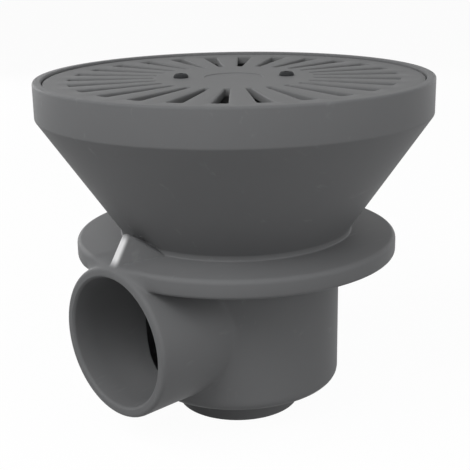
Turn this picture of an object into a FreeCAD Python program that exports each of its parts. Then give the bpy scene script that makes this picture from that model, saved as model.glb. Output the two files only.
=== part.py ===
import FreeCAD, Part
import math
import os

Vector = FreeCAD.Vector

# Pool main drain, millimetres. +Z is up, the origin is the centre of the foot's underside,
# and the pipe socket points along -Y.

# Hopper and rim
RIM_RADIUS = 100.0
RIM_HEIGHT = 17.8
RIM_WALL = 4.4
RIM_EDGE = 1.0
CONE_HEIGHT = 58.2
WALL = 4.5

# Neck and waterstop flange
NECK_STEP = 6.0
NECK_HEIGHT = 5.0
NECK_FILLET = 1.8
FLANGE_WIDTH = 29.0
FLANGE_THICKNESS = 9.6
FLANGE_TOP_ROUND = 4.6
FLANGE_LOW_ROUND = 0.8

# Pot and foot
POT_RADIUS = 53.8
POT_CORNER = 4.8
POT_BELOW_SOCKET = 2.8
FLOOR_THICKNESS = 4.5
FOOT_WALL = 8.5
FOOT_HEIGHT = 15.0

# Pipe socket for a solvent-welded pipe
PIPE_RADIUS = 31.5
SOCKET_CLEARANCE = 0.1
SOCKET_WALL = 6.1
SOCKET_TUCK = 7.8
SOCKET_STOP = 2.5
SOCKET_LIP = 1.6
SOCKET_PROUD = 1.0
SOCKET_LEAD_IN = 1.6
SOCKET_EDGE = 2.0

# Stiffening web between cone and flange, above the socket
WEB_THICKNESS = 2.6
WEB_HEIGHT = 13.8
WEB_TOP_INSET = 10.1
WEB_FOOT_INSET = 2.2
WEB_ROOT = 1.5

# Grate
GRATE_GAP = 0.4
GRATE_RECESS = 1.2
GRATE_DEPTH = 8.3
PLATE_THICKNESS = 4.0
SKIRT_WALL = 3.4
LEDGE_WIDTH = 4.6
SLOT_COUNT = 26
SLOT_INNER_RADIUS = 40.5
SLOT_INNER_WIDTH = 2.4
SLOT_OUTER_WIDTH = 7.6
SLOT_BORDER = 12.2
RIB_THICKNESS = 2.4
RIB_CLEARANCE = 0.8
HUB_RING_INSET = 1.4
HUB_DISC_RADIUS = 14.5
HUB_DISC_DEPTH = 0.4
HUB_BOSS_RADIUS = 8.0

# Fixing line: the grate screws and the bridge bar lie this many slot pitches round from the socket
FIXING_STEPS = 10
GRATE_SCREW_OFFSET = 26.6
GRATE_SCREW_GRIP = 8.4
BRIDGE_SCREW_GRIP = 8.0
SHANK_CLEARANCE = 0.3
THREAD_CLEARANCE = 0.05

# Button-headed screws through the grate: radii, the head's height and rounding, and the hexagon socket
# across its flats
GRATE_SHANK = 2.0
GRATE_HEAD = 3.8
GRATE_HEAD_HEIGHT = 2.8
GRATE_HEAD_ROUND = 1.8
GRATE_KEY = 2.5
GRATE_KEY_DEPTH = 1.4

# Hexagon screws through the bridge bar: shank radius, head across its flats and head height
BRIDGE_SHANK = 2.5
BRIDGE_HEAD = 8.0
BRIDGE_HEAD_HEIGHT = 3.5

# Bridge bar, its inserts and the posts that carry it
BAR_DROP = 5.5
BAR_THICKNESS = 9.0
BAR_WIDTH = 18.0
BAR_END = 8.0
BAR_WALL_GAP = 7.0
BAR_SKIN = 3.0
INSERT_WALL = 1.5
BAR_PAD = 8.0
POST_RADIUS = 7.0
POST_INSERT_LENGTH = 9.5
POST_HOLE_SPARE = 3.0

# Plug in the foot's port, drawn plain at its thread's outer radius, and its O-ring
PORT_RADIUS = 24.0
PLUG_CLEARANCE = 0.15
PLUG_WALL = 4.0
PLUG_RECESS = 3.0
PLUG_LAND = 3.0
PLUG_HEAD_THICKNESS = 4.6
GRIP_LENGTH = 44.0
GRIP_WIDTH = 9.0
GRIP_HEIGHT = 12.0
SEAL_WIDTH = 3.4
SEAL_HEIGHT = 2.4
SEAL_SLACK = 0.3

# A large rounding is turned in this many flats, a small one is a plain bevel
ROUND_FLATS = 2
BEVEL = 1

# Cutters run this far past the faces that they open
PAST = 1.0

# Levels, from the foot up
socket_bore = PIPE_RADIUS + SOCKET_CLEARANCE
socket_radius = socket_bore + SOCKET_WALL
pot_low = FOOT_HEIGHT
floor_top = pot_low + FLOOR_THICKNESS
socket_z = pot_low + POT_BELOW_SOCKET + socket_radius
flange_low = socket_z + socket_radius - SOCKET_TUCK
flange_top = flange_low + FLANGE_THICKNESS
neck_top = flange_top + NECK_HEIGHT
rim_low = neck_top + CONE_HEIGHT
rim_top = rim_low + RIM_HEIGHT
grate_top = rim_top - GRATE_RECESS
grate_seat = grate_top - GRATE_DEPTH
plate_low = grate_top - PLATE_THICKNESS
bar_top = grate_seat - BAR_DROP
bar_low = bar_top - BAR_THICKNESS

# Radii and angles
pot_inner = POT_RADIUS - WALL
neck_radius = POT_RADIUS + NECK_STEP
flange_radius = POT_RADIUS + FLANGE_WIDTH
socket_mouth = flange_radius + SOCKET_PROUD
grate_pocket = RIM_RADIUS - RIM_WALL
grate_radius = grate_pocket - GRATE_GAP
ledge_radius = grate_pocket - LEDGE_WIDTH
bridge_screw_offset = ledge_radius - BAR_WALL_GAP - BAR_END
cone_slope = (RIM_RADIUS - neck_radius) / CONE_HEIGHT
cone_wall = WALL * math.hypot(1.0, cone_slope)
slot_pitch = 360.0 / SLOT_COUNT
socket_angle = -90.0
fixing_angle = socket_angle + FIXING_STEPS * slot_pitch
foot_radius = PORT_RADIUS + FOOT_WALL
plug_radius = PORT_RADIUS - PLUG_CLEARANCE
seal_inner = PORT_RADIUS + SEAL_SLACK
seal_outer = seal_inner + SEAL_WIDTH
seal_low = floor_top - SEAL_HEIGHT
seal_seat = seal_outer + SEAL_SLACK
plug_head_radius = seal_seat + PLUG_LAND


def cone_outer(z):
    return neck_radius + (z - neck_top) * cone_slope


def inner_cone_height(radius):
    return neck_top + (radius - neck_radius + cone_wall) / cone_slope


def eased_wire(corners):
    """Closed wire in the XZ plane through corners (x, z), or (x, z, rounding, flats) where eased."""
    sharp = [Vector(corner[0], 0, corner[1]) for corner in corners]
    points = []
    for index, (x, z, *ease) in enumerate(corners):
        corner = sharp[index]
        if not ease:
            points.append(corner)
            continue
        rounding, flats = ease
        back = (sharp[index - 1] - corner).normalize()
        ahead = (sharp[(index + 1) % len(sharp)] - corner).normalize()
        half = back.getAngle(ahead) / 2
        reach = rounding / math.tan(half)
        centre = corner + (back + ahead).normalize() * (rounding / math.sin(half))
        start = corner + back * reach - centre
        end = corner + ahead * reach - centre
        sweep = start.getAngle(end)
        for step in range(flats + 1):
            turn = sweep * step / flats
            spoke = start * math.sin(sweep - turn) + end * math.sin(turn)
            points.append(centre + spoke * (1 / math.sin(sweep)))
    return Part.makePolygon(points + points[:1])


def turned(corners):
    """Solid of revolution about Z from the corners of its half section."""
    face = Part.Face(eased_wire(corners))
    return face.revolve(Vector(0, 0, 0), Vector(0, 0, 1), 360)


def cylinder(radius, low, high, x=0.0):
    return Part.makeCylinder(radius, high - low, Vector(x, 0, low))


def hexagon(across_flats, low, high, x):
    corner = across_flats / 2 / math.cos(math.radians(30))
    turns = [math.radians(60 * side) for side in range(7)]
    outline = [Vector(x + corner * math.cos(turn), corner * math.sin(turn), low) for turn in turns]
    return Part.Face(Part.makePolygon(outline)).extrude(Vector(0, 0, high - low))


def turn_about_z(shape, degrees):
    copy = shape.copy()
    copy.rotate(Vector(0, 0, 0), Vector(0, 0, 1), degrees)
    return copy


def towards_socket(shape):
    """Lay a shape that was made along +Z on the socket's axis, pointing out of its mouth."""
    copy = shape.copy()
    copy.rotate(Vector(0, 0, 0), Vector(1, 0, 0), 90)
    copy.translate(Vector(0, 0, socket_z))
    return copy


def fixing_pair(shape):
    """Both copies of a shape made on +X, one at each end of the fixing line."""
    return [turn_about_z(shape, fixing_angle + turn) for turn in (0, 180)]


def pill(end_x, radius, z):
    """Closed wire of a bar with round ends, along X about the origin."""
    side = Vector(0, radius, 0)
    nose = Vector(radius, 0, 0)
    left = Vector(-end_x, 0, z)
    right = Vector(end_x, 0, z)
    return Part.Wire([
        Part.LineSegment(left - side, right - side).toShape(),
        Part.Arc(right - side, right + nose, right + side).toShape(),
        Part.LineSegment(right + side, left + side).toShape(),
        Part.Arc(left + side, left - nose, left - side).toShape(),
    ])


def body_outside():
    return turned([
        (0, 0),
        (foot_radius, 0),
        (foot_radius, pot_low),
        (POT_RADIUS, pot_low, POT_CORNER, ROUND_FLATS),
        (POT_RADIUS, flange_low),
        (flange_radius, flange_low, FLANGE_LOW_ROUND, BEVEL),
        (flange_radius, flange_top, FLANGE_TOP_ROUND, ROUND_FLATS),
        (neck_radius, flange_top, NECK_FILLET, BEVEL),
        (neck_radius, neck_top),
        (RIM_RADIUS, rim_low),
        (RIM_RADIUS, rim_top, RIM_EDGE, BEVEL),
        (0, rim_top),
    ])


def body_cavity():
    return turned([
        (0, floor_top),
        (pot_inner, floor_top),
        (pot_inner, inner_cone_height(pot_inner)),
        (ledge_radius, inner_cone_height(ledge_radius)),
        (ledge_radius, grate_seat),
        (grate_pocket, grate_seat),
        (grate_pocket, rim_top + PAST),
        (0, rim_top + PAST),
    ])


def port_bore():
    """Hole for the plug through the foot, with a step at the pot's floor for the O-ring."""
    return turned([
        (0, -PAST),
        (PORT_RADIUS, -PAST),
        (PORT_RADIUS, seal_low),
        (seal_seat, seal_low),
        (seal_seat, floor_top + PAST),
        (0, floor_top + PAST),
    ])


def socket_barrel():
    return towards_socket(turned([
        (0, 0),
        (socket_radius, 0),
        (socket_radius, socket_mouth, SOCKET_EDGE, ROUND_FLATS),
        (0, socket_mouth),
    ]))


def socket_bores():
    """Pipe socket up to its stop, then the narrower passage into the pot."""
    passage = socket_bore - SOCKET_LIP
    stop = pot_inner + SOCKET_STOP
    return towards_socket(turned([
        (0, 0),
        (passage, 0),
        (passage, stop),
        (socket_bore, stop),
        (socket_bore, socket_mouth - SOCKET_LEAD_IN),
        (socket_bore + SOCKET_LEAD_IN, socket_mouth),
        (socket_bore + SOCKET_LEAD_IN, socket_mouth + PAST),
        (0, socket_mouth + PAST),
    ]))


def stiffening_web():
    top = flange_top + WEB_HEIGHT
    face = Part.Face(eased_wire([
        (flange_radius - WEB_FOOT_INSET, flange_top - WEB_ROOT),
        (flange_radius - WEB_FOOT_INSET, flange_top),
        (flange_radius - WEB_TOP_INSET, top),
        (cone_outer(top) - WEB_ROOT, top),
        (neck_radius - WEB_ROOT, neck_top),
        (neck_radius - WEB_ROOT, flange_top - WEB_ROOT),
    ]))
    face.translate(Vector(0, -WEB_THICKNESS / 2, 0))
    return turn_about_z(face.extrude(Vector(0, WEB_THICKNESS, 0)), socket_angle)


def bridge_posts(outside):
    """Round-nosed posts that stand on the cone's inner wall and end at the bar's underside."""
    nose = bridge_screw_offset - POST_RADIUS
    low = inner_cone_height(nose - cone_wall / 2)
    length = RIM_RADIUS - bridge_screw_offset
    corner = Vector(bridge_screw_offset, -POST_RADIUS, low)
    back = Part.makeBox(length, 2 * POST_RADIUS, bar_low - low, corner)
    post = cylinder(POST_RADIUS, low, bar_low, bridge_screw_offset).fuse(back)
    return [one.common(outside) for one in fixing_pair(post)]


def make_drain_body():
    outside = body_outside()
    body = outside.fuse([socket_barrel(), stiffening_web()]).removeSplitter()
    body = body.cut([body_cavity(), socket_bores(), port_bore()])
    body = body.fuse(bridge_posts(outside))
    hole_low = bar_low - POST_INSERT_LENGTH - POST_HOLE_SPARE
    hole = hexagon(insert_flats(BRIDGE_SHANK), hole_low, bar_low + PAST, bridge_screw_offset)
    return body.cut(fixing_pair(hole)).removeSplitter()


def grate_slot():
    """Cutter for one slot on the X axis, wider towards the rim, its outer end round the grate's centre."""
    low = plate_low - PAST
    outer_radius = grate_radius - SLOT_BORDER
    inner_side = Vector(0, SLOT_INNER_WIDTH / 2, 0)
    outer_side = Vector(0, SLOT_OUTER_WIDTH / 2, 0)
    inner = Vector(SLOT_INNER_RADIUS, 0, low)
    outer = Vector(math.sqrt(outer_radius ** 2 - outer_side.y ** 2), 0, low)
    outline = Part.Wire([
        Part.LineSegment(inner + inner_side, inner - inner_side).toShape(),
        Part.LineSegment(inner - inner_side, outer - outer_side).toShape(),
        Part.Arc(outer - outer_side, Vector(outer_radius, 0, low), outer + outer_side).toShape(),
        Part.LineSegment(outer + outer_side, inner + inner_side).toShape(),
    ])
    return Part.Face(outline).extrude(Vector(0, 0, PLATE_THICKNESS + 2 * PAST))


def make_grate():
    skirt_inner = grate_radius - SKIRT_WALL
    grate = turned([
        (0, plate_low),
        (skirt_inner, plate_low),
        (skirt_inner, grate_seat),
        (grate_radius, grate_seat),
        (grate_radius, grate_top),
        (HUB_DISC_RADIUS, grate_top),
        (HUB_DISC_RADIUS, grate_top - HUB_DISC_DEPTH),
        (0, grate_top - HUB_DISC_DEPTH),
    ])
    rib_low = grate_seat + RIB_CLEARANCE
    ring_outer = SLOT_INNER_RADIUS - HUB_RING_INSET
    ring = cylinder(ring_outer, rib_low, plate_low)
    ring = ring.cut(cylinder(ring_outer - RIB_THICKNESS, rib_low - PAST, plate_low + PAST))
    rib_start = ring_outer - RIB_THICKNESS / 2
    rib_length = skirt_inner + SKIRT_WALL / 2 - rib_start
    rib_corner = Vector(rib_start, -RIB_THICKNESS / 2, rib_low)
    rib = Part.makeBox(rib_length, RIB_THICKNESS, plate_low - rib_low, rib_corner)
    slot = grate_slot()
    ribs = []
    slots = []
    for index in range(SLOT_COUNT):
        slot_angle = socket_angle + index * slot_pitch
        slots.append(turn_about_z(slot, slot_angle))
        ribs.append(turn_about_z(rib, slot_angle + slot_pitch / 2))
    bosses = fixing_pair(cylinder(HUB_BOSS_RADIUS, bar_top, plate_low, GRATE_SCREW_OFFSET))
    hole = cylinder(GRATE_SHANK + SHANK_CLEARANCE, bar_top - PAST, grate_top + PAST, GRATE_SCREW_OFFSET)
    grate = grate.fuse([ring] + ribs + bosses)
    return grate.cut(slots + fixing_pair(hole)).removeSplitter()


def make_grate_screws():
    """Screws whose round-edged heads stand on the hub."""
    end = bar_top - GRATE_SCREW_GRIP
    head_top = grate_top + GRATE_HEAD_HEIGHT
    screw = turned([
        (0, end),
        (GRATE_SHANK, end),
        (GRATE_SHANK, grate_top),
        (GRATE_HEAD, grate_top),
        (GRATE_HEAD, head_top, GRATE_HEAD_ROUND, BEVEL),
        (0, head_top),
    ])
    screw = screw.cut(hexagon(GRATE_KEY, head_top - GRATE_KEY_DEPTH, head_top + PAST, 0))
    screw.translate(Vector(GRATE_SCREW_OFFSET, 0, 0))
    return Part.makeCompound(fixing_pair(screw))


def make_bridge_screws():
    screw = hexagon(BRIDGE_HEAD, bar_top, bar_top + BRIDGE_HEAD_HEIGHT, bridge_screw_offset)
    screw = screw.fuse(cylinder(BRIDGE_SHANK, bar_low - BRIDGE_SCREW_GRIP, bar_top, bridge_screw_offset))
    return Part.makeCompound(fixing_pair(screw))


def insert_flats(shank):
    return 2 * (shank + THREAD_CLEARANCE + INSERT_WALL)


def make_inserts(shank, low, high, offset):
    """Pair of hexagonal threaded inserts, their threads drawn as plain bores."""
    bore = cylinder(shank + THREAD_CLEARANCE, low - PAST, high + PAST, offset)
    return Part.makeCompound(fixing_pair(hexagon(insert_flats(shank), low, high, offset).cut(bore)))


def make_bar_inserts():
    return make_inserts(GRATE_SHANK, bar_low, bar_top, GRATE_SCREW_OFFSET)


def make_post_inserts():
    return make_inserts(BRIDGE_SHANK, bar_low - POST_INSERT_LENGTH, bar_low, bridge_screw_offset)


def make_bridge_bar():
    """Bar with round ends, cored from below between the pads that carry its screws."""
    end_radius = BAR_WIDTH / 2
    end_x = bridge_screw_offset + BAR_END - end_radius
    bar = Part.Face(pill(end_x, end_radius, bar_low))
    bar = bar.extrude(Vector(0, 0, BAR_THICKNESS))
    core_width = BAR_WIDTH - 2 * BAR_SKIN
    core_height = BAR_THICKNESS - BAR_SKIN
    screws = [-bridge_screw_offset, -GRATE_SCREW_OFFSET, GRATE_SCREW_OFFSET, bridge_screw_offset]
    cores = []
    for start, end in zip(screws[:-1], screws[1:]):
        corner = Vector(start + BAR_PAD, -core_width / 2, bar_low - PAST)
        cores.append(Part.makeBox(end - start - 2 * BAR_PAD, core_width, core_height + PAST, corner))
    holes = []
    for side in (1, -1):
        insert_x = side * GRATE_SCREW_OFFSET
        post_x = side * bridge_screw_offset
        holes.append(hexagon(insert_flats(GRATE_SHANK), bar_low - PAST, bar_top + PAST, insert_x))
        holes.append(cylinder(BRIDGE_SHANK + SHANK_CLEARANCE, bar_low - PAST, bar_top + PAST, post_x))
    return turn_about_z(bar.cut(cores + holes), fixing_angle)


def make_port_plug():
    head_top = floor_top + PLUG_HEAD_THICKNESS
    hollow = plug_radius - PLUG_WALL
    plug = turned([
        (0, head_top - PLUG_WALL),
        (hollow, head_top - PLUG_WALL),
        (hollow, PLUG_RECESS),
        (plug_radius, PLUG_RECESS),
        (plug_radius, floor_top),
        (plug_head_radius, floor_top),
        (plug_head_radius, head_top),
        (0, head_top),
    ])
    end_radius = GRIP_WIDTH / 2
    end_x = GRIP_LENGTH / 2 - end_radius
    grip = Part.Face(pill(end_x, end_radius, head_top - PAST))
    return plug.fuse(grip.extrude(Vector(0, 0, GRIP_HEIGHT + PAST))).removeSplitter()


def make_plug_seal():
    """O-ring pressed flat between the plug's head and the step round the port."""
    return turned([
        (seal_inner, seal_low),
        (seal_outer, seal_low),
        (seal_outer, floor_top),
        (seal_inner, floor_top),
    ])


PIECES = {
    "drain_body": make_drain_body,
    "grate": make_grate,
    "grate_screws": make_grate_screws,
    "bridge_bar": make_bridge_bar,
    "bar_inserts": make_bar_inserts,
    "bridge_screws": make_bridge_screws,
    "post_inserts": make_post_inserts,
    "port_plug": make_port_plug,
    "plug_seal": make_plug_seal,
}

os.makedirs("parts", exist_ok=True)
for name, make in PIECES.items():
    make().exportStep(f"parts/{name}.step")
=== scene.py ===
import math

import bmesh
import bpy
from mathutils import Matrix, Vector
from mathutils.kdtree import KDTree


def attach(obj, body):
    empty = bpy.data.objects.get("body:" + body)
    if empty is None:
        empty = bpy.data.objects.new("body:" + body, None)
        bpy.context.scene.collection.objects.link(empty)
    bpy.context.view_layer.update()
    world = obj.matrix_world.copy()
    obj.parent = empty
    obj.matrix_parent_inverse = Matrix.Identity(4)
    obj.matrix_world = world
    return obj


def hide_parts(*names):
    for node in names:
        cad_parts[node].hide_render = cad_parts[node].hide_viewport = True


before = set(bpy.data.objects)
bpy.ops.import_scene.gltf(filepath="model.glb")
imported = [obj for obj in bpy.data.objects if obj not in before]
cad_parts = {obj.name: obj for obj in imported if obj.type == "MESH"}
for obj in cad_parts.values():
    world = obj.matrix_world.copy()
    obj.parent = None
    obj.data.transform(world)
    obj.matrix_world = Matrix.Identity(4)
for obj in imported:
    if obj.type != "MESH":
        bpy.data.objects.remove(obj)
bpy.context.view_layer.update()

MM = 0.001

# Shapes are made in millimetres and scaled when they are finished. Most sizes are the construction's, and
# sizes across round forms are radii.

# Hopper, neck and waterstop flange
RIM_RADIUS = 100.0
RIM_LOW = 158.2
RIM_TOP = 176.0
GRATE_POCKET = 95.6
GRATE_SEAT = 166.5
LEDGE_RADIUS = 91.0
NECK_RADIUS = 59.8
NECK_FOOT = 96.4
NECK_TOP = 98.9
FLANGE_RADIUS = 82.8
FLANGE_LOW = 85.6
FLANGE_TOP = 95.0
WALL = 4.5
CONE_SLOPE = (RIM_RADIUS - NECK_RADIUS) / (RIM_LOW - NECK_TOP)
CONE_WALL = WALL * math.hypot(1.0, CONE_SLOPE)

# Pot, foot and port
POT_RADIUS = 53.8
POT_INNER = POT_RADIUS - WALL
POT_LOW = 15.0
FLOOR_TOP = POT_LOW + WALL
FOOT_RADIUS = 32.5
PORT_RADIUS = 24.0
SEAL_SEAT = 28.0
SEAL_LOW = 17.1

# Roundings of the body's outside, from the foot up
FOOT_EDGE = 0.6
FOOT_ROOT = 1.2
POT_LOW_ROUND = 4.8
POT_TOP_ROOT = 2.0
FLANGE_LOW_ROUND = 1.7
FLANGE_TOP_ROUND = 2.4
NECK_ROOT = 0.6
NECK_ROUND = 0.8
RIM_LOW_ROUND = 0.5
RIM_EDGE = 1.0

# Roundings and chamfers of its inside, from the floor up
PORT_EASE = 0.6
FLOOR_ROOT = 2.0
CAVITY_BEND = 3.0
LEDGE_BEND = 1.0
SEAT_EDGE = 0.4
SEAT_ROOT = 0.3
POCKET_EASE = 0.5

# Pipe socket
SOCKET_Z = 55.5
SOCKET_RADIUS = 37.7
SOCKET_BORE = 31.6
SOCKET_PASSAGE = 30.6
SOCKET_STOP = 51.8
SOCKET_TAPER = 9.0
SOCKET_MOUTH = 83.8
SOCKET_LEAD_IN = 0.9
SOCKET_LEAD_IN_DEPTH = 8.0
SOCKET_LEAD_IN_BLEND = 4.0
SOCKET_CHAMFER = 1.0
SOCKET_CHAMFER_EASE = 0.5
SOCKET_ROUND = 2.0
BARREL_START = 24.0

# Soft root where the socket leaves the pot: the corner's edges that count, how far the smoothing reaches
# from them, and where it runs out before the mouth
ROOT_NEAR = 0.5
ROOT_ANGLE = math.radians(20.0)
ROOT_REACH = 6.0
ROOT_PASSES = 4
ROOT_REPEATS = 3
ROOT_SMOOTHING = 0.5
ROOT_RUN_OUT = 2.0
ROOT_END = 83.3

# Gusset above the socket: corners from the flange's edge to the neck, with a crest that rises inwards
GUSSET_FOOT = Vector((2.5, -82.1, 93.5))
GUSSET_NOSE = Vector((1.8, -72.9, 108.6))
GUSSET_NECK = Vector((4.0, -57.0, NECK_TOP))
GUSSET_ROOT = Vector((14.0, -56.5, 94.5))
GUSSET_EDGE = 1.3
GUSSET_EDGE_STEPS = 3

# Painted highlight along its crest: full and vanishing distance from it, and the fade at its ends
CREST_INNER = 1.0
CREST_OUTER = 3.2
CREST_FADE = 5.0
CREST_OVERRUN = 0.5

# Thin stem that joins the gusset's nose to the cone
STEM_HALF = 1.1
STEM_NOSE = Vector((STEM_HALF, -71.6, 107.2))
STEM_CONE = Vector((STEM_HALF, -62.0, 104.2))
STEM_NECK = Vector((STEM_HALF, -58.0, NECK_TOP))

# Bridge posts, and the bar that lies on them
POST_OFFSET = 76.0
POST_RADIUS = 7.0
POST_LOW = 117.3
BAR_LOW = 152.0
BAR_TOP = 161.0
POST_HOLE_LOW = 139.5
POST_HOLE_FLATS = 8.1

# Grate
GRATE_RADIUS = 95.2
GRATE_TOP = 174.8
PLATE_THICKNESS = 4.0
SKIRT_INNER = 91.8
SLOT_COUNT = 26
SLOT_INNER = 40.5
SLOT_OUTER = 83.0
SLOT_INNER_HALF = 1.2
SLOT_OUTER_HALF = 3.8
RIB_HALF = 1.2
RIB_DEPTH = 3.5
SKIRT_BELOW_RIBS = 0.8
HUB_RING_INNER = 36.7
HUB_RING_OUTER = 39.1
HUB_DISC = 14.5
HUB_DISC_DEPTH = 0.4
GRATE_EDGE = 0.85
GRATE_EDGE_STEPS = 3
SLOT_INNER_ROUND = 0.7
SLOT_OUTER_ROUND = 1.4
SLOT_ROUND_STEPS = 4
SLOT_END_STEPS = 3
RING_STEPS = 2
SKIRT_STEPS = 4
BOSS_RADIUS = 8.0
BOSS_EDGE = 0.5
SLOT_PITCH = math.tau / SLOT_COUNT

# Grate screws, on a fixing line that lies some slots round from the socket
SOCKET_ANGLE = math.radians(-90.0)
FIXING_SLOTS = 10
FIXING_ANGLE = SOCKET_ANGLE + FIXING_SLOTS * SLOT_PITCH
SCREW_OFFSET = 26.6
SCREW_HEAD = 3.8
SCREW_HEAD_HEIGHT = 2.0
SCREW_HEAD_TOP = GRATE_TOP + SCREW_HEAD_HEIGHT
SCREW_HEAD_ROUND = 1.7
SCREW_HEAD_EASE = 0.15
SCREW_POINT = 0.5
SCREW_SHANK = 2.0
SCREW_HOLE = 2.3
SCREW_END = 152.6
SCREW_KEY_FLATS = 2.5
SCREW_KEY_DEPTH = 1.0

# Rounded edges of the pieces that keep the construction's mesh
MOULDED_EDGE = 0.6
METAL_EDGE = 0.25
EASED_STEPS = 2

# Fineness of the meshes, and how far a cutter runs past what it cuts
WELD = 0.0005
ROOT_WELD = 0.05
PAST = 1.0
ARC_STEPS = 5
BODY_STEPS = 288
BARREL_STEPS = 208
SMALL_STEPS = 64
FINE_ROW = 1.3
CREASE = math.radians(32.0)
FLAT = math.radians(1.0)

# Camera: where it stands round the drain's axis, and how it looks at it
CAMERA_AZIMUTH = math.radians(46.0)
CAMERA_DISTANCE = 504.0 * MM
CAMERA_ASIDE = -0.71 * MM
CAMERA_HEIGHT = 243.34 * MM
CAMERA_PITCH = math.radians(16.767)
CAMERA_ROLL = math.radians(-0.922)
CAMERA_LENS_MM = 76.49
CAMERA_SENSOR_MM = 36.0

# Studio: pale floor, dim even room light and soft lamps (name, azimuth from the camera to the right,
# elevation, size in metres, watts)
FLOOR_WHITE = (1.0, 1.0, 1.0, 1.0)
FLOOR_BOUNCE = (0.36, 0.36, 0.36, 1.0)
FLOOR_GLOW = 0.965
FLOOR_ROUGH = 0.9
FLOOR_HALF = 8.0
ROOM_LIGHT = 0.01
LAMP_DISTANCE = 1.3
LAMP_TARGET = 0.1
SOFTBOXES = (
    ("key_left", -52.0, 45.0, (1.0, 0.75), 12.2),
    ("high_right", 45.0, 45.0, (0.75, 0.75), 2.6),
    ("high_front", -8.0, 45.0, (0.75, 0.75), 1.5),
    ("low_front", -8.0, 12.0, (0.9, 0.6), 3.0),
    ("low_right", 70.0, 12.0, (0.9, 0.6), 4.7),
    ("back_left", -140.0, 12.0, (0.9, 0.6), 5.5),
    ("back_right", 140.0, 8.0, (0.9, 0.6), 2.0),
)

# Finishes: shine, how much paler scuffs and rubbed edges are, and the strength and depth of bumps
PLASTIC_GLOSS = 0.11
PLASTIC_SCUFF = 1.12
PLASTIC_WEAR = 1.15
PLASTIC_RINGS = (0.12, 0.05 * MM)
PLASTIC_GRAIN = (0.3, 0.05 * MM)
METAL_GLOSS = 0.5
METAL_SCUFF = 1.2
METAL_WEAR = 1.6
METAL_RINGS = (0.15, 0.03 * MM)
METAL_GRAIN = (0.15, 0.02 * MM)

# Linear colours of the finishes
BODY_GREY = (0.150, 0.152, 0.155, 1.0)
BODY_GREY_DARK = (0.134, 0.136, 0.139, 1.0)
GRATE_GREY = (0.152, 0.154, 0.156, 1.0)
GRATE_GREY_DARK = (0.136, 0.138, 0.140, 1.0)
# Painted highlight: pale colour laid along the gusset's crest
CREST_PAINTED_HIGHLIGHT = (0.70, 0.70, 0.705, 1.0)
PLUG_GREY = (0.120, 0.122, 0.125, 1.0)
PLUG_GREY_DARK = (0.100, 0.102, 0.105, 1.0)
STEEL = (0.56, 0.56, 0.55, 1.0)
STEEL_DARK = (0.42, 0.42, 0.42, 1.0)
# Painted shade: near-black on the grate screws' heads stands in for their shade and dark reflections
SCREW_PAINTED_SHADE = (0.030, 0.031, 0.033, 1.0)
SCREW_PAINTED_SHADE_DARK = (0.020, 0.021, 0.022, 1.0)
BRASS = (0.62, 0.44, 0.18, 1.0)
BRASS_DARK = (0.48, 0.33, 0.13, 1.0)
RUBBER = (0.020, 0.020, 0.021, 1.0)
RUBBER_DARK = (0.012, 0.012, 0.013, 1.0)


def inner_cone_height(radius):
    return NECK_TOP + (radius - NECK_RADIUS + CONE_WALL) / CONE_SLOPE


def arc_points(radius, angles):
    return [(radius * math.cos(angle), radius * math.sin(angle)) for angle in angles]


def even_angles(start, end, steps):
    return [start + (end - start) * step / steps for step in range(steps + 1)]


def shape_of(mesh):
    shape = bmesh.new()
    shape.from_mesh(mesh)
    return shape


def everything(shape):
    return shape.verts[:] + shape.edges[:] + shape.faces[:]


def weld(shape, gap=WELD):
    bmesh.ops.remove_doubles(shape, verts=shape.verts[:], dist=gap)


def face_outwards(shape):
    bmesh.ops.recalc_face_normals(shape, faces=shape.faces[:])


def join_flat_faces(shape):
    """Make one face of the triangles that lie in one plane."""
    bmesh.ops.dissolve_limit(
        shape, angle_limit=FLAT, use_dissolve_boundaries=False, verts=shape.verts[:],
        edges=shape.edges[:], delimit={"NORMAL"})


def round_corner(shape, vert, size, segments):
    bmesh.ops.bevel(
        shape, geom=[vert], offset=size, offset_type="OFFSET", segments=segments, profile=0.5,
        affect="VERTICES", material=-1)


def round_edges(shape, edges, size, segments):
    bmesh.ops.bevel(
        shape, geom=edges, offset=size, offset_type="OFFSET", segments=segments, profile=0.5,
        affect="EDGES", material=-1, clamp_overlap=True)


def half_section(corners):
    """Run of edges in the XZ plane through corners (x, z), or (x, z, ease) where a bevel rounds one off."""
    shape = bmesh.new()
    verts = [shape.verts.new((corner[0], 0.0, corner[1])) for corner in corners]
    for pair in zip(verts, verts[1:]):
        shape.edges.new(pair)
    for vert, corner in zip(verts, corners):
        if len(corner) == 3:
            round_corner(shape, vert, corner[2], ARC_STEPS)
    return shape


def turned(corners, steps, row=None, below=math.inf):
    """Solid spun about Z from its half section, with rows of faces no taller than row below a level."""
    shape = half_section(corners)
    if row:
        for edge in shape.edges[:]:
            if max(vert.co.z for vert in edge.verts) <= below:
                bmesh.ops.subdivide_edges(shape, edges=[edge], cuts=int(edge.calc_length() / row))
    bmesh.ops.spin(
        shape, geom=everything(shape), cent=(0, 0, 0), axis=(0, 0, 1), dvec=(0, 0, 0), angle=math.tau,
        steps=steps, use_merge=True)
    weld(shape)
    face_outwards(shape)
    return shape


def prism(outline, low, high):
    """Upright solid extruded from the corners (x, y) of its plan."""
    shape = bmesh.new()
    face = shape.faces.new([shape.verts.new((x, y, low)) for x, y in outline])
    raise_faces(shape, [face], high - low)
    face_outwards(shape)
    return shape


def raise_faces(shape, faces, height):
    """Extrude faces along Z and give the new end faces. The old ones stay and close the other end."""
    made = bmesh.ops.extrude_face_region(shape, geom=faces, use_keep_orig=False)
    ends = [item for item in made["geom"] if isinstance(item, bmesh.types.BMFace)]
    verts = [item for item in made["geom"] if isinstance(item, bmesh.types.BMVert)]
    bmesh.ops.translate(shape, vec=(0, 0, height), verts=verts)
    return ends


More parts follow.
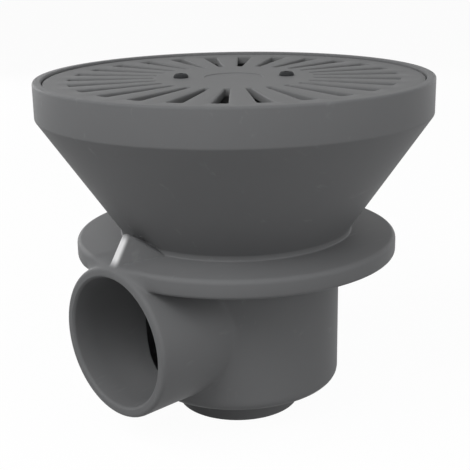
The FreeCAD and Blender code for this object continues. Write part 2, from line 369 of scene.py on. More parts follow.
def draw_out(shape, faces, height):
    """Extrude faces of a closed shape along Z, leaving none of the old ones inside it."""
    ends = raise_faces(shape, faces, height)
    bmesh.ops.delete(shape, geom=faces, context="FACES")
    return ends


def hexagon(across_flats, low, high):
    corner = across_flats / 2 / math.cos(math.radians(30))
    turns = [math.radians(60 * side) for side in range(6)]
    return prism(arc_points(corner, turns), low, high)


def move(shape, x=0.0, y=0.0, z=0.0):
    bmesh.ops.translate(shape, vec=(x, y, z), verts=shape.verts[:])
    return shape


def turn(shape, angle, axis="Z"):
    bmesh.ops.rotate(shape, cent=(0, 0, 0), matrix=Matrix.Rotation(angle, 3, axis), verts=shape.verts[:])
    return shape


def towards_socket(shape):
    """Lay a shape that was made along +Z on the socket's axis, pointing out of its mouth."""
    return move(turn(shape, math.radians(90), "X"), z=SOCKET_Z)


def to_object(shape, name):
    mesh = bpy.data.meshes.new(name)
    shape.to_mesh(mesh)
    shape.free()
    piece = bpy.data.objects.new(name, mesh)
    bpy.context.scene.collection.objects.link(piece)
    return piece


def combine(piece, shape, operation):
    """Join a shape to a piece, or cut or trim the piece with it."""
    tool = to_object(shape, "tool")
    modifier = piece.modifiers.new("combine", "BOOLEAN")
    modifier.operation = operation
    modifier.solver = "EXACT"
    modifier.object = tool
    evaluated = piece.evaluated_get(bpy.context.evaluated_depsgraph_get())
    mesh = bpy.data.meshes.new_from_object(evaluated)
    piece.modifiers.clear()
    piece.data = mesh
    bpy.data.objects.remove(tool)


def fixing_pair(make):
    """Both copies of a shape made on +X, one at each end of the fixing line."""
    return [turn(make(), FIXING_ANGLE + half_turn) for half_turn in (0.0, math.pi)]


def finish_piece(piece, node, material):
    """Weld and scale a piece, shade it smooth up to its creases, and put it in its node's place."""
    shape = shape_of(piece.data)
    weld(shape)
    bmesh.ops.scale(shape, vec=(MM, MM, MM), verts=shape.verts[:])
    for face in shape.faces:
        face.smooth = True
        face.material_index = 0
    for edge in shape.edges:
        edge.smooth = edge.calc_face_angle(0.0) < CREASE
    shape.to_mesh(piece.data)
    shape.free()
    piece.data.materials.clear()
    piece.data.materials.append(material)
    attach(piece, "root")
    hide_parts(node)


def body_outside():
    return turned([
        (0, 0),
        (FOOT_RADIUS, 0, FOOT_EDGE),
        (FOOT_RADIUS, POT_LOW, FOOT_ROOT),
        (POT_RADIUS, POT_LOW, POT_LOW_ROUND),
        (POT_RADIUS, FLANGE_LOW, POT_TOP_ROOT),
        (FLANGE_RADIUS, FLANGE_LOW, FLANGE_LOW_ROUND),
        (FLANGE_RADIUS, FLANGE_TOP, FLANGE_TOP_ROUND),
        (NECK_RADIUS, NECK_FOOT, NECK_ROOT),
        (NECK_RADIUS, NECK_TOP, NECK_ROUND),
        (RIM_RADIUS, RIM_LOW, RIM_LOW_ROUND),
        (RIM_RADIUS, RIM_TOP, RIM_EDGE),
        (0, RIM_TOP),
    ], BODY_STEPS, FINE_ROW, FLANGE_LOW + PAST)


def body_cavity():
    return turned([
        (0, FLOOR_TOP),
        (POT_INNER, FLOOR_TOP, FLOOR_ROOT),
        (POT_INNER, inner_cone_height(POT_INNER), CAVITY_BEND),
        (LEDGE_RADIUS, inner_cone_height(LEDGE_RADIUS), LEDGE_BEND),
        (LEDGE_RADIUS, GRATE_SEAT, SEAT_EDGE),
        (GRATE_POCKET, GRATE_SEAT, SEAT_ROOT),
        (GRATE_POCKET, RIM_TOP - POCKET_EASE),
        (GRATE_POCKET + POCKET_EASE, RIM_TOP),
        (GRATE_POCKET + POCKET_EASE, RIM_TOP + PAST),
        (0, RIM_TOP + PAST),
    ], BODY_STEPS)


def port_bore():
    return turned([
        (0, -PAST),
        (PORT_RADIUS + PORT_EASE, -PAST),
        (PORT_RADIUS + PORT_EASE, 0),
        (PORT_RADIUS, PORT_EASE),
        (PORT_RADIUS, SEAL_LOW),
        (SEAL_SEAT, SEAL_LOW),
        (SEAL_SEAT, FLOOR_TOP + PAST),
        (0, FLOOR_TOP + PAST),
    ], BODY_STEPS)


def socket_barrel():
    return towards_socket(turned([
        (0, BARREL_START),
        (SOCKET_RADIUS, BARREL_START),
        (SOCKET_RADIUS, SOCKET_MOUTH, SOCKET_ROUND),
        (0, SOCKET_MOUTH),
    ], BARREL_STEPS, FINE_ROW))


def socket_bores():
    lead_in = SOCKET_BORE + SOCKET_LEAD_IN
    mouth = lead_in + SOCKET_CHAMFER
    return towards_socket(turned([
        (0, 0),
        (SOCKET_PASSAGE, 0),
        (SOCKET_PASSAGE, SOCKET_STOP - SOCKET_TAPER),
        (SOCKET_BORE, SOCKET_STOP),
        (SOCKET_BORE, SOCKET_MOUTH - SOCKET_LEAD_IN_DEPTH, SOCKET_LEAD_IN_BLEND),
        (lead_in, SOCKET_MOUTH - SOCKET_CHAMFER, SOCKET_CHAMFER_EASE),
        (mouth, SOCKET_MOUTH),
        (mouth, SOCKET_MOUTH + PAST),
        (0, SOCKET_MOUTH + PAST),
    ], BARREL_STEPS))


def hull(corners):
    """Smallest solid round some corners and their mirror images past the drain's middle plane."""
    shape = bmesh.new()
    for corner in corners:
        for side in (-1.0, 1.0):
            shape.verts.new((side * corner.x, corner.y, corner.z))
    bmesh.ops.convex_hull(shape, input=shape.verts[:])
    join_flat_faces(shape)
    face_outwards(shape)
    return shape


def gusset():
    """Spreading gusset on the flange's top, with a rounded crest."""
    shape = hull((GUSSET_FOOT, GUSSET_NOSE, GUSSET_NECK, GUSSET_ROOT))
    high = [edge for edge in shape.edges if max(vert.co.z for vert in edge.verts) > GUSSET_NOSE.z - WELD]
    round_edges(shape, high, GUSSET_EDGE, GUSSET_EDGE_STEPS)
    return shape


def bridge_post():
    """Round-nosed post that runs back into the hopper's wall."""
    shape = bmesh.new()
    bmesh.ops.create_circle(shape, cap_ends=True, segments=SMALL_STEPS, radius=POST_RADIUS)
    for vert in shape.verts:
        if vert.co.x > WELD:
            vert.co.x = RIM_RADIUS - POST_OFFSET
    move(shape, POST_OFFSET, 0.0, POST_LOW)
    raise_faces(shape, shape.faces[:], BAR_LOW - POST_LOW)
    face_outwards(shape)
    return shape


def post_hole():
    return move(hexagon(POST_HOLE_FLATS, POST_HOLE_LOW, BAR_LOW + PAST), POST_OFFSET)


def blend_socket_root(piece):
    """Smooth the mesh round the inner corner between socket, pot and flange into a soft root."""
    shape = shape_of(piece.data)
    weld(shape, ROOT_WELD)
    corner = []
    for edge in shape.edges:
        middle = (edge.verts[0].co + edge.verts[1].co) / 2
        off_barrel = math.hypot(middle.x, middle.z - SOCKET_Z) - SOCKET_RADIUS
        if abs(off_barrel) < ROOT_NEAR and -ROOT_END < middle.y < -BARREL_START:
            if edge.is_manifold and edge.calc_face_angle_signed() < -ROOT_ANGLE:
                corner.append(middle)
    tree = KDTree(len(corner))
    for index, point in enumerate(corner):
        tree.insert(point, index)
    tree.balance()
    gaps = {vert: tree.find(vert.co)[2] for vert in shape.verts if vert.co.y > -ROOT_END}
    for step in range(ROOT_PASSES):
        reach = ROOT_REACH * (1 - step / (ROOT_PASSES + 1))
        near = []
        for vert, gap in gaps.items():
            if gap < min(reach, ROOT_RUN_OUT * (vert.co.y + ROOT_END)):
                near.append(vert)
        for repeat in range(ROOT_REPEATS):
            bmesh.ops.smooth_vert(
                shape, verts=near, factor=ROOT_SMOOTHING, use_axis_x=True, use_axis_y=True, use_axis_z=True)
    shape.to_mesh(piece.data)
    shape.free()


def make_body(material):
    body = to_object(body_outside(), "body_moulding")
    combine(body, socket_barrel(), "UNION")
    blend_socket_root(body)
    combine(body, gusset(), "UNION")
    combine(body, hull((STEM_NOSE, STEM_CONE, STEM_NECK)), "UNION")
    for cutter in (body_cavity(), port_bore(), socket_bores()):
        combine(body, cutter, "DIFFERENCE")
    for shape, hole in zip(fixing_pair(bridge_post), fixing_pair(post_hole)):
        post = to_object(shape, "post")
        combine(post, body_outside(), "INTERSECT")
        combine(post, hole, "DIFFERENCE")
        trimmed = shape_of(post.data)
        bpy.data.objects.remove(post)
        combine(body, trimmed, "UNION")
    finish_piece(body, "drain_body", material)


def grate_half_sector(shape):
    """Top of half a slot's sector, flat: hub ring, slotted panel and half a rib, on the +Y side of +X."""
    half = SLOT_PITCH / 2
    ring_angles = even_angles(0, half - math.asin(RIB_HALF / HUB_RING_OUTER), RING_STEPS) + [half]
    edge_angles = even_angles(0, half - math.asin(RIB_HALF / SKIRT_INNER), SKIRT_STEPS) + [half]
    slot_end = math.asin(SLOT_OUTER_HALF / SLOT_OUTER)
    rows = {
        "inner": arc_points(HUB_RING_INNER, ring_angles),
        "ring": arc_points(HUB_RING_OUTER, ring_angles),
        "edge": arc_points(SKIRT_INNER, edge_angles),
        "slot": [(SLOT_INNER, 0.0), (SLOT_INNER, SLOT_INNER_HALF)]
        + arc_points(SLOT_OUTER, even_angles(slot_end, 0, SLOT_END_STEPS)),
    }
    verts = {}
    for row, points in rows.items():
        verts[row] = [shape.verts.new((x, y, GRATE_TOP)) for x, y in points]
    inner, ring, edge, slot = (verts[row] for row in ("inner", "ring", "edge", "slot"))
    for index in range(len(inner) - 1):
        shape.faces.new((inner[index], ring[index], ring[index + 1], inner[index + 1]))
    shape.faces.new((ring[-2], edge[-2], edge[-1], ring[-1]))
    shape.faces.new(slot + edge[:-1] + ring[-2::-1])
    corners = [slot[1], slot[2]]
    for vert, size in zip(corners, (SLOT_INNER_ROUND, SLOT_OUTER_ROUND)):
        round_corner(shape, vert, size, SLOT_ROUND_STEPS)


def grate_plate():
    """Slotted plate with its skirt, hub ring and ribs, extruded from one flat ring of sectors."""
    shape = bmesh.new()
    grate_half_sector(shape)
    bmesh.ops.mirror(shape, geom=everything(shape), axis="Y", merge_dist=WELD)
    around = SLOT_PITCH * (SLOT_COUNT - 1)
    bmesh.ops.spin(
        shape, geom=everything(shape), cent=(0, 0, 0), axis=(0, 0, 1), dvec=(0, 0, 0), angle=around,
        steps=SLOT_COUNT - 1, use_duplicate=True)
    weld(shape)
    turn(shape, SOCKET_ANGLE)
    hub = [edge for edge in shape.edges if edge.is_boundary and reach_of(edge) < HUB_RING_INNER + WELD]
    bmesh.ops.contextual_create(shape, geom=hub)
    outer = [edge for edge in shape.edges if edge.is_boundary and reach_of(edge) > SKIRT_INNER - WELD]
    widened = bmesh.ops.extrude_edge_only(shape, edges=outer)["geom"]
    grow = GRATE_RADIUS / SKIRT_INNER
    rim = [item for item in widened if isinstance(item, bmesh.types.BMVert)]
    bmesh.ops.scale(shape, vec=(grow, grow, 1.0), verts=rim)
    low_faces = raise_faces(shape, shape.faces[:], -PLATE_THICKNESS)
    strips = [face for face in low_faces if len(face.verts) == 4]
    strip_ends = draw_out(shape, strips, -RIB_DEPTH)
    skirt = [face for face in strip_ends if nearness_of(face) > SKIRT_INNER - WELD]
    draw_out(shape, skirt, -SKIRT_BELOW_RIBS)
    face_outwards(shape)
    top_edges = []
    for edge in shape.edges:
        if min(vert.co.z for vert in edge.verts) > GRATE_TOP - WELD and edge.calc_face_angle(0.0) > CREASE:
            top_edges.append(edge)
    round_edges(shape, top_edges, GRATE_EDGE, GRATE_EDGE_STEPS)
    return shape


def reach_of(item):
    """Greatest distance of an edge's or a face's corners from the drain's axis."""
    return max(math.hypot(vert.co.x, vert.co.y) for vert in item.verts)


def nearness_of(item):
    """Least distance of an edge's or a face's corners from the drain's axis."""
    return min(math.hypot(vert.co.x, vert.co.y) for vert in item.verts)


def grate_boss():
    return move(turned([
        (0, BAR_TOP),
        (BOSS_RADIUS, BAR_TOP, BOSS_EDGE),
        (BOSS_RADIUS, GRATE_TOP - PLATE_THICKNESS / 2),
        (0, GRATE_TOP - PLATE_THICKNESS / 2),
    ], SMALL_STEPS), SCREW_OFFSET)


def grate_screw_hole():
    return move(turned([
        (0, BAR_TOP - PAST),
        (SCREW_HOLE, BAR_TOP - PAST),
        (SCREW_HOLE, GRATE_TOP + PAST),
        (0, GRATE_TOP + PAST),
    ], SMALL_STEPS), SCREW_OFFSET)


def hub_recess():
    return turned([
        (0, GRATE_TOP - HUB_DISC_DEPTH),
        (HUB_DISC, GRATE_TOP - HUB_DISC_DEPTH),
        (HUB_DISC + HUB_DISC_DEPTH, GRATE_TOP),
        (HUB_DISC + HUB_DISC_DEPTH, GRATE_TOP + PAST),
        (0, GRATE_TOP + PAST),
    ], BODY_STEPS // 2)


def make_grate(material):
    grate = to_object(grate_plate(), "slotted_grate")
    for boss in fixing_pair(grate_boss):
        combine(grate, boss, "UNION")
    for cutter in fixing_pair(grate_screw_hole) + [hub_recess()]:
        combine(grate, cutter, "DIFFERENCE")
    finish_piece(grate, "grate", material)


def button_screw():
    """Screw whose round-edged head stands on the hub."""
    return move(turned([
        (0, SCREW_END),
        (SCREW_SHANK - SCREW_POINT, SCREW_END),
        (SCREW_SHANK, SCREW_END + SCREW_POINT),
        (SCREW_SHANK, GRATE_TOP),
        (SCREW_HEAD, GRATE_TOP, SCREW_HEAD_EASE),
        (SCREW_HEAD, SCREW_HEAD_TOP, SCREW_HEAD_ROUND),
        (0, SCREW_HEAD_TOP),
    ], SMALL_STEPS), SCREW_OFFSET)


def key_socket():
    floor = SCREW_HEAD_TOP - SCREW_KEY_DEPTH
    return move(hexagon(SCREW_KEY_FLATS, floor, SCREW_HEAD_TOP + PAST), SCREW_OFFSET)


def make_grate_screws(material):
    first, second = fixing_pair(button_screw)
    screws = to_object(first, "grate_button_screws")
    combine(screws, second, "UNION")
    for cutter in fixing_pair(key_socket):
        combine(screws, cutter, "DIFFERENCE")
    finish_piece(screws, "grate_screws", material)


def make_eased_copy(node, name, edge_size, material):
    """Copy of a node's mesh, welded into whole faces, with its edges rounded off."""
    shape = shape_of(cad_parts[node].data)
    bmesh.ops.scale(shape, vec=(1 / MM, 1 / MM, 1 / MM), verts=shape.verts[:])
    weld(shape)
    join_flat_faces(shape)
    edges = [edge for edge in shape.edges if edge.calc_face_angle(0.0) > CREASE]
    round_edges(shape, edges, edge_size, EASED_STEPS)
    finish_piece(to_object(shape, name), node, material)


def new_group(name, inputs, outputs):
    """Shader node group with number inputs (name, default) and outputs (name, socket type)."""
    group = bpy.data.node_groups.new(name, "ShaderNodeTree")
    for label, default in inputs:
        socket = group.interface.new_socket(label, in_out="INPUT", socket_type="NodeSocketFloat")
        socket.default_value = default
    for label, kind in outputs:
        group.interface.new_socket(label, in_out="OUTPUT", socket_type=kind)
    entry = group.nodes.new("NodeGroupInput")
    leave = group.nodes.new("NodeGroupOutput")
    return group, entry.outputs, leave.inputs


def add_node(tree, kind, sockets=None, **settings):
    """New node with its settings, and plain values on the input sockets named or numbered."""
    node = tree.nodes.new(kind)
    for key, value in settings.items():
        setattr(node, key, value)
    for label, value in (sockets or {}).items():
        node.inputs[label].default_value = value
    return node


def moulded_skin_group():
    """Slow clouding, fine eroded grain and faint turning rings of a mould's face."""
    inputs = [("Cloud Scale", 26.0), ("Grain Scale", 2400.0), ("Ring Scale", 700.0)]
    outputs = [(label, "NodeSocketFloat") for label in ("Cloud", "Grain", "Rings")]
    group, entry, leave = new_group("moulded_skin", inputs, outputs)
    links = group.links
    where = add_node(group, "ShaderNodeTexCoord").outputs["Object"]
    cloud = add_node(group, "ShaderNodeTexNoise", {"Detail": 5.0, "Roughness": 0.58})
    grain = add_node(group, "ShaderNodeTexNoise", {"Detail": 2.0, "Roughness": 0.6})
    apart = add_node(group, "ShaderNodeSeparateXYZ")
    flat = add_node(group, "ShaderNodeCombineXYZ")
    radius = add_node(group, "ShaderNodeVectorMath", operation="LENGTH")
    section = add_node(group, "ShaderNodeCombineXYZ")
    rings = add_node(group, "ShaderNodeTexNoise", {"Detail": 1.0, "Roughness": 0.5})
    links.new(where, cloud.inputs["Vector"])
    links.new(where, grain.inputs["Vector"])
    links.new(where, apart.inputs["Vector"])
    links.new(apart.outputs["X"], flat.inputs["X"])
    links.new(apart.outputs["Y"], flat.inputs["Y"])
    links.new(flat.outputs["Vector"], radius.inputs[0])
    links.new(radius.outputs["Value"], section.inputs["X"])
    links.new(apart.outputs["Z"], section.inputs["Z"])
    links.new(section.outputs["Vector"], rings.inputs["Vector"])
    for texture, label in ((cloud, "Cloud"), (grain, "Grain"), (rings, "Ring")):
        links.new(entry[label + " Scale"], texture.inputs["Scale"])
    links.new(cloud.outputs["Fac"], leave["Cloud"])
    links.new(grain.outputs["Fac"], leave["Grain"])
    links.new(rings.outputs["Fac"], leave["Rings"])
    return group


def rubbed_edges_group():
    """Normals eased over a piece's edges, and a broken mask of the edges that handling has rubbed."""
    inputs = [("Radius", 0.8 * MM), ("Breakup Scale", 120.0)]
    outputs = [("Normal", "NodeSocketVector"), ("Wear", "NodeSocketFloat")]
    group, entry, leave = new_group("rubbed_edges", inputs, outputs)
    links = group.links
    eased = add_node(group, "ShaderNodeBevel", samples=6)
    plain = add_node(group, "ShaderNodeNewGeometry")
    agree = add_node(group, "ShaderNodeVectorMath", operation="DOT_PRODUCT")
    edge = add_node(group, "ShaderNodeMapRange", {"From Min": 0.995, "From Max": 0.9})
    where = add_node(group, "ShaderNodeTexCoord")
    noise = add_node(group, "ShaderNodeTexNoise", {"Detail": 4.0, "Roughness": 0.65})
    patchy = add_node(group, "ShaderNodeMapRange", {"From Min": 0.42, "From Max": 0.68})
    wear = add_node(group, "ShaderNodeMath", operation="MULTIPLY")
    links.new(entry["Radius"], eased.inputs["Radius"])
    links.new(eased.outputs["Normal"], agree.inputs[0])
    links.new(plain.outputs["Normal"], agree.inputs[1])
    links.new(agree.outputs["Value"], edge.inputs["Value"])
    links.new(where.outputs["Object"], noise.inputs["Vector"])
    links.new(entry["Breakup Scale"], noise.inputs["Scale"])
    links.new(noise.outputs["Fac"], patchy.inputs["Value"])
    links.new(edge.outputs["Result"], wear.inputs[0])
    links.new(patchy.outputs["Result"], wear.inputs[1])
    links.new(eased.outputs["Normal"], leave["Normal"])
    links.new(wear.outputs["Value"], leave["Wear"])
    return group


def scuffs_group():
    """Mask of short hair scratches from handling."""
    group, entry, leave = new_group("scuffs", [("Scale", 160.0)], [("Mask", "NodeSocketFloat")])
    links = group.links
    where = add_node(group, "ShaderNodeTexCoord")
    stretch = add_node(group, "ShaderNodeMapping", {"Scale": (1.0, 0.16, 0.5), "Rotation": (0.3, 0.5, 0.7)})
    scratch = add_node(group, "ShaderNodeTexNoise", {"Detail": 3.0, "Roughness": 0.7})
    narrow = add_node(group, "ShaderNodeMapRange", {"From Min": 0.64, "From Max": 0.74})
    links.new(where.outputs["Object"], stretch.inputs["Vector"])
    links.new(stretch.outputs["Vector"], scratch.inputs["Vector"])
    links.new(entry["Scale"], scratch.inputs["Scale"])
    links.new(scratch.outputs["Fac"], narrow.inputs["Value"])
    links.new(narrow.outputs["Result"], leave["Mask"])
    return group


def painted_crest_highlight_group():
    """Soft mask along the gusset's crest, where a painted highlight lies, fading towards its ends."""
    inputs = [("Inner", CREST_INNER * MM), ("Outer", CREST_OUTER * MM)]
    group, entry, leave = new_group("painted_crest_highlight", inputs, [("Mask", "NodeSocketFloat")])
    links = group.links
    foot = Vector((0.0, GUSSET_FOOT.y, GUSSET_FOOT.z)) * MM
    rise = Vector((0.0, GUSSET_NOSE.y, GUSSET_NOSE.z)) * MM - foot
    where = add_node(group, "ShaderNodeTexCoord")
    from_foot = add_node(group, "ShaderNodeVectorMath", {1: foot}, operation="SUBTRACT")
    along = add_node(group, "ShaderNodeVectorMath", {1: rise.normalized()}, operation="DOT_PRODUCT")
    aside = add_node(group, "ShaderNodeVectorMath", {1: rise.normalized()}, operation="CROSS_PRODUCT")
    gap = add_node(group, "ShaderNodeVectorMath", operation="LENGTH")
    begin = -CREST_OVERRUN * MM
    fade = CREST_FADE * MM
    narrow, start, end = (
        add_node(group, "ShaderNodeMapRange", spread, interpolation_type="SMOOTHSTEP")
        for spread in (
            {"To Min": 1.0, "To Max": 0.0},
            {"From Min": begin, "From Max": fade},
            {"From Min": rise.length - begin, "From Max": rise.length - fade},
        ))
    middle = add_node(group, "ShaderNodeMath", operation="MULTIPLY")
    mask = add_node(group, "ShaderNodeMath", operation="MULTIPLY")
    links.new(where.outputs["Object"], from_foot.inputs[0])
    links.new(from_foot.outputs["Vector"], along.inputs[0])
    links.new(from_foot.outputs["Vector"], aside.inputs[0])
    links.new(aside.outputs["Vector"], gap.inputs[0])
    links.new(gap.outputs["Value"], narrow.inputs["Value"])
    links.new(entry["Inner"], narrow.inputs["From Min"])
    links.new(entry["Outer"], narrow.inputs["From Max"])
    links.new(along.outputs["Value"], start.inputs["Value"])
    links.new(along.outputs["Value"], end.inputs["Value"])
    links.new(start.outputs["Result"], middle.inputs[0])
    links.new(end.outputs["Result"], middle.inputs[1])
    links.new(middle.outputs["Value"], mask.inputs[0])
    links.new(narrow.outputs["Result"], mask.inputs[1])
    links.new(mask.outputs["Value"], leave["Mask"])
    return group


MOULDED_SKIN = moulded_skin_group()
RUBBED_EDGES = rubbed_edges_group()
SCUFFS = scuffs_group()
PAINTED_CREST_HIGHLIGHT = painted_crest_highlight_group()


def place_group(tree, group, sockets=None):
    return add_node(tree, "ShaderNodeGroup", sockets, node_tree=group)


def new_material(name):
    material = bpy.data.materials.new(name)
    material.use_nodes = True
    return material, material.node_tree, material.node_tree.nodes["Principled BSDF"]


def colour_mix(tree, factor, first, second):
    """Mix of two colours, each a plain colour or another node's output, by a mask."""
    mix = add_node(tree, "ShaderNodeMix", data_type="RGBA")
    ends = [socket for socket in mix.inputs if socket.type == "RGBA"]
    tree.links.new(factor, mix.inputs[0])
    for socket, colour in zip(ends, (first, second)):
        if isinstance(colour, bpy.types.NodeSocket):
            tree.links.new(colour, socket)
        else:
            socket.default_value = colour
    return [socket for socket in mix.outputs if socket.type == "RGBA"][0]


def value_range(tree, value, low, high):
    """A 0 to 1 value spread from low to high."""
    spread = add_node(tree, "ShaderNodeMapRange", {"To Min": low, "To Max": high})
    tree.links.new(value, spread.inputs["Value"])
    return spread.outputs["Result"]


def lighter(colour, factor):
    return tuple(min(1.0, channel * factor) for channel in colour[:3]) + (1.0,)


def add_bump(tree, height, normal, strength, depth):
    bump = add_node(tree, "ShaderNodeBump", {"Strength": strength, "Distance": depth})
    tree.links.new(height, bump.inputs["Height"])
    tree.links.new(normal, bump.inputs["Normal"])
    return bump.outputs["Normal"]


def worn_colour(tree, skin, edges, scuffs, light, dark, scuff, wear):
    """Clouded colour, with scuffs and rubbed edges that are paler by two factors."""
    clouded = colour_mix(tree, skin.outputs["Cloud"], dark, light)
    scuffed = colour_mix(tree, scuffs.outputs["Mask"], clouded, lighter(light, scuff))
    return colour_mix(tree, edges.outputs["Wear"], scuffed, lighter(light, wear))


def skin_normal(tree, skin, edges, rings, grain):
    """Normal with eased edges, faint rings and fine grain, each bump a strength and a depth."""
    ringed = add_bump(tree, skin.outputs["Rings"], edges.outputs["Normal"], *rings)
    return add_bump(tree, skin.outputs["Grain"], ringed, *grain)


def plastic(name, light, dark, rough, edge_radius, crest=None):
    """Satin moulding: clouded colour, eroded grain over faint turning rings, scuffs and rubbed edges, and a
    painted highlight where a crest colour is given.
    """
    material, tree, shader = new_material(name)
    links = tree.links
    skin = place_group(tree, MOULDED_SKIN)
    edges = place_group(tree, RUBBED_EDGES, {"Radius": edge_radius})
    scuffs = place_group(tree, SCUFFS)
    worn = worn_colour(tree, skin, edges, scuffs, light, dark, PLASTIC_SCUFF, PLASTIC_WEAR)
    # Pale painted highlight along the gusset's crest, mixed over the worn colour
    if crest:
        worn = colour_mix(tree, place_group(tree, PAINTED_CREST_HIGHLIGHT).outputs["Mask"], worn, crest)
    links.new(worn, shader.inputs["Base Color"])
    links.new(value_range(tree, skin.outputs["Cloud"], *rough), shader.inputs["Roughness"])
    links.new(skin_normal(tree, skin, edges, PLASTIC_RINGS, PLASTIC_GRAIN), shader.inputs["Normal"])
    shader.inputs["Specular IOR Level"].default_value = PLASTIC_GLOSS
    return material


def metal(name, light, dark, rough, metallic, gloss=METAL_GLOSS):
    """Turned metal, or steel painted near-black as shade: drawn grain, hair scratches and bright rubbed
    edges.
    """
    material, tree, shader = new_material(name)
    links = tree.links
    scales = {"Cloud Scale": 240.0, "Grain Scale": 5200.0, "Ring Scale": 2600.0}
    skin = place_group(tree, MOULDED_SKIN, scales)
    edges = place_group(tree, RUBBED_EDGES, {"Radius": 0.25 * MM, "Breakup Scale": 700.0})
    scuffs = place_group(tree, SCUFFS, {"Scale": 900.0})
    worn = worn_colour(tree, skin, edges, scuffs, light, dark, METAL_SCUFF, METAL_WEAR)
    links.new(worn, shader.inputs["Base Color"])
    links.new(value_range(tree, skin.outputs["Cloud"], *rough), shader.inputs["Roughness"])
    links.new(skin_normal(tree, skin, edges, METAL_RINGS, METAL_GRAIN), shader.inputs["Normal"])
    shader.inputs["Metallic"].default_value = metallic
    shader.inputs["Specular IOR Level"].default_value = gloss
    return material


def make_pieces():
    body_plastic = plastic(
        "satin_body", BODY_GREY, BODY_GREY_DARK, rough=(0.5, 0.64), edge_radius=0.8 * MM, crest=CREST_PAINTED_HIGHLIGHT)
    grate_plastic = plastic(
        "satin_grate", GRATE_GREY, GRATE_GREY_DARK, rough=(0.54, 0.68), edge_radius=0.4 * MM)
    plug_plastic = plastic(
        "satin_plug", PLUG_GREY, PLUG_GREY_DARK, rough=(0.56, 0.7), edge_radius=0.6 * MM)
    seal_rubber = plastic(
        "black_rubber", RUBBER, RUBBER_DARK, rough=(0.62, 0.78), edge_radius=0.3 * MM)
    stainless = metal("stainless_steel", STEEL, STEEL_DARK, rough=(0.26, 0.4), metallic=1.0)
    # Grate screws: steel painted near-black as the shade and dark reflection on their heads
    screw_painted_shade = metal(
        "screw_painted_shade_steel", SCREW_PAINTED_SHADE, SCREW_PAINTED_SHADE_DARK, rough=(0.6, 0.72), metallic=0.0, gloss=PLASTIC_GLOSS)
    brass = metal("turned_brass", BRASS, BRASS_DARK, rough=(0.24, 0.38), metallic=1.0)
    make_body(body_plastic)
    make_grate(grate_plastic)
    make_grate_screws(screw_painted_shade)
    make_eased_copy("bridge_bar", "cross_bar", MOULDED_EDGE, grate_plastic)
    make_eased_copy("bar_inserts", "brass_bar_inserts", METAL_EDGE, brass)
    make_eased_copy("bridge_screws", "bar_hexagon_screws", METAL_EDGE, stainless)
    make_eased_copy("post_inserts", "brass_post_inserts", METAL_EDGE, brass)
    make_eased_copy("port_plug", "foot_plug", MOULDED_EDGE, plug_plastic)
    make_eased_copy("plug_seal", "plug_sealing_ring", MOULDED_EDGE, seal_rubber)


def seen_ray(tree, path):
    """1 for a ray from the camera, from a gloss or through glass, and 0 for scattered light."""
    straight = add_node(tree, "ShaderNodeMath", operation="MAXIMUM")
    seen = add_node(tree, "ShaderNodeMath", operation="MAXIMUM")
    tree.links.new(path.outputs["Is Camera Ray"], straight.inputs[0])
    tree.links.new(path.outputs["Is Glossy Ray"], straight.inputs[1])
    tree.links.new(straight.outputs["Value"], seen.inputs[0])
    tree.links.new(path.outputs["Is Transmission Ray"], seen.inputs[1])
    return seen.outputs["Value"]


def floor_material():
    """White to the camera, with a faint shadow, and a grey that throws little light up at the object."""
    material, tree, shader = new_material("floor_white")
    links = tree.links
    path = add_node(tree, "ShaderNodeLightPath")
    glow = add_node(tree, "ShaderNodeEmission", {"Strength": 1.0})
    mix = add_node(tree, "ShaderNodeMixShader")
    share = add_node(tree, "ShaderNodeMath", {1: FLOOR_GLOW}, operation="MULTIPLY")
    links.new(seen_ray(tree, path), share.inputs[0])
    pale = colour_mix(tree, path.outputs["Is Camera Ray"], FLOOR_BOUNCE, FLOOR_WHITE)
    links.new(pale, shader.inputs["Base Color"])
    shader.inputs["Roughness"].default_value = FLOOR_ROUGH
    shader.inputs["Specular IOR Level"].default_value = 0.0
    links.new(share.outputs["Value"], mix.inputs[0])
    links.new(shader.outputs["BSDF"], mix.inputs[1])
    links.new(glow.outputs["Emission"], mix.inputs[2])
    links.new(mix.outputs["Shader"], tree.nodes["Material Output"].inputs["Surface"])
    return material


def make_floor():
    shape = bmesh.new()
    bmesh.ops.create_grid(shape, x_segments=1, y_segments=1, size=FLOOR_HALF)
    floor = to_object(shape, "floor")
    floor.data.materials.append(floor_material())


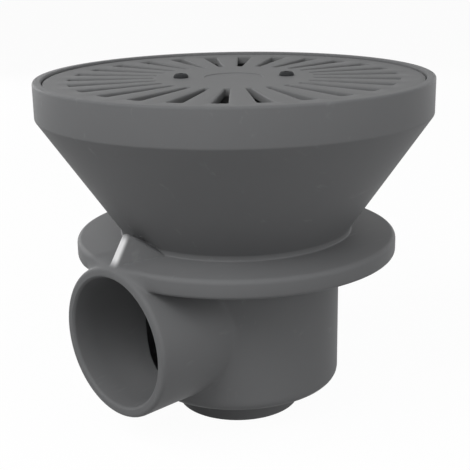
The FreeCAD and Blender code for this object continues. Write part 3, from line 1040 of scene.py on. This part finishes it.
def make_world():
    """Dim even room light, and plain white where the camera or a reflection looks past the floor."""
    world = bpy.data.worlds.new("studio")
    bpy.context.scene.world = world
    world.use_nodes = True
    tree = world.node_tree
    links = tree.links
    room = tree.nodes["Background"]
    room.inputs["Color"].default_value = FLOOR_WHITE
    room.inputs["Strength"].default_value = ROOM_LIGHT
    white = add_node(tree, "ShaderNodeBackground", {"Color": FLOOR_WHITE, "Strength": 1.0})
    path = add_node(tree, "ShaderNodeLightPath")
    mix = add_node(tree, "ShaderNodeMixShader")
    links.new(seen_ray(tree, path), mix.inputs[0])
    links.new(room.outputs["Background"], mix.inputs[1])
    links.new(white.outputs["Background"], mix.inputs[2])
    links.new(mix.outputs["Shader"], tree.nodes["World Output"].inputs["Surface"])


def camera_side(aside, toward, up):
    """Point from its distances to the camera's right, towards the camera, and up."""
    right = Vector((math.cos(CAMERA_AZIMUTH), math.sin(CAMERA_AZIMUTH), 0.0))
    near = Vector((math.sin(CAMERA_AZIMUTH), -math.cos(CAMERA_AZIMUTH), 0.0))
    return right * aside + near * toward + Vector((0.0, 0.0, up))


def add_softbox(name, azimuth, elevation, size, power):
    """Soft lamp that faces the drain, at angles from the camera's side and the floor."""
    lamp = bpy.data.lights.new(name, "AREA")
    lamp.shape = "RECTANGLE"
    lamp.size, lamp.size_y = size
    lamp.energy = power
    softbox = bpy.data.objects.new(name, lamp)
    bpy.context.scene.collection.objects.link(softbox)
    level = LAMP_DISTANCE * math.cos(math.radians(elevation))
    aside = level * math.sin(math.radians(azimuth))
    toward = level * math.cos(math.radians(azimuth))
    target = Vector((0.0, 0.0, LAMP_TARGET))
    up = LAMP_TARGET + LAMP_DISTANCE * math.sin(math.radians(elevation))
    softbox.location = camera_side(aside, toward, up)
    softbox.rotation_euler = (target - softbox.location).to_track_quat("-Z", "Y").to_euler()


def make_lights():
    for softbox in SOFTBOXES:
        add_softbox(*softbox)


def make_camera():
    lens = bpy.data.cameras.new("camera")
    lens.lens = CAMERA_LENS_MM
    lens.sensor_width = CAMERA_SENSOR_MM
    camera = bpy.data.objects.new("camera", lens)
    bpy.context.scene.collection.objects.link(camera)
    right = camera_side(1.0, 0.0, 0.0)
    ahead = -camera_side(0.0, math.cos(CAMERA_PITCH), math.sin(CAMERA_PITCH))
    up = right.cross(ahead)
    facing = Matrix((right, up, -ahead)).transposed() @ Matrix.Rotation(CAMERA_ROLL, 3, "Z")
    place = camera_side(CAMERA_ASIDE, CAMERA_DISTANCE, CAMERA_HEIGHT)
    camera.matrix_world = Matrix.Translation(place) @ facing.to_4x4()
    bpy.context.scene.camera = camera


make_pieces()
make_floor()
make_world()
make_lights()
make_camera()
bpy.context.scene.view_settings.view_transform = "Standard"
